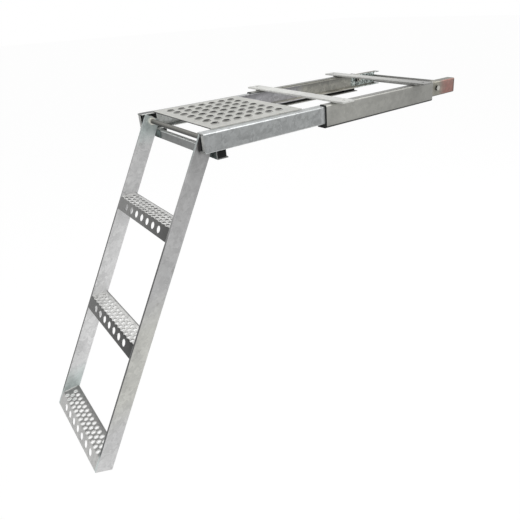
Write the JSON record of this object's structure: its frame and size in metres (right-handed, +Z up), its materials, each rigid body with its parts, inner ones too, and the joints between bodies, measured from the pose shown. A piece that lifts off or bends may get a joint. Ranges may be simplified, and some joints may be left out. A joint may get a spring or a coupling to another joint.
{
  "type": "pull-out step ladder",
  "caption": "Galvanised pull-out access ladder: a perforated platform slides in rails that bolt under a vehicle, and a hinged ladder of folded treads hangs from its front.",
  "frame": {"origin": "centre of the four chassis bolt holes, on the top face of the two straps", "axes": "+X back along the rails under the vehicle, +Y to the climber's left when facing the vehicle, +Z up; the ladder hangs at the -X end"},
  "size_m": [1.4877, 0.488, 0.8679],
  "materials": {
    "galvanised_strap": "hot-dip galvanised, satin",
    "galvanised_outer_rail": "galvanised, satin, warm grey",
    "galvanised_slider_rail": "galvanised with spangle, satin",
    "galvanised_stile": "galvanised with spangle, satin",
    "galvanised_sheet": "galvanised, satin, punched",
    "zinc_fastener": "zinc plated",
    "black_nylon": "matt moulded nylon",
    "black_rubber": "matt rubber"
  },
  "bodies": {
    "fixed_frame": {"front_strap": "galvanised_strap", "rear_strap": "galvanised_strap", "strap_spacers": "galvanised_strap", "outer_rail_left": "galvanised_outer_rail", "outer_rail_right": "galvanised_outer_rail", "mouth_guide_left": "black_nylon", "mouth_guide_right": "black_nylon", "rear_guides": "black_nylon"},
    "slider": {"slider_rail_left": "galvanised_slider_rail", "slider_rail_right": "galvanised_slider_rail", "platform": "galvanised_sheet", "stop_profile": "galvanised_slider_rail", "stop_pads": "black_rubber", "profile_plugs": "black_nylon", "rear_cross_bar": "galvanised_strap", "stop_bolts": "zinc_fastener", "stop_washers": "zinc_fastener", "stop_nuts": "zinc_fastener", "slide_block_left": "black_nylon", "slide_block_right": "black_nylon", "pivot_axle": "zinc_fastener", "axle_nuts": "zinc_fastener", "axle_washers": "zinc_fastener"},
    "ladder": {"stile_left": "galvanised_stile", "stile_right": "galvanised_stile", "tread_top": "galvanised_sheet", "tread_middle": "galvanised_sheet", "tread_bottom": "galvanised_sheet"}
  },
  "joints": [
    {"name": "slider_slide", "type": "slide", "parent": "fixed_frame", "child": "slider", "axis": [1, 0, 0], "range_m": [-0.021, 0.329]},
    {"name": "ladder_hinge", "type": "hinge", "parent": "slider", "child": "ladder", "pos_m": [-0.6253, 0, -0.036], "axis": [0, 1, 0], "range_deg": [0, 62.25]}
  ]
}
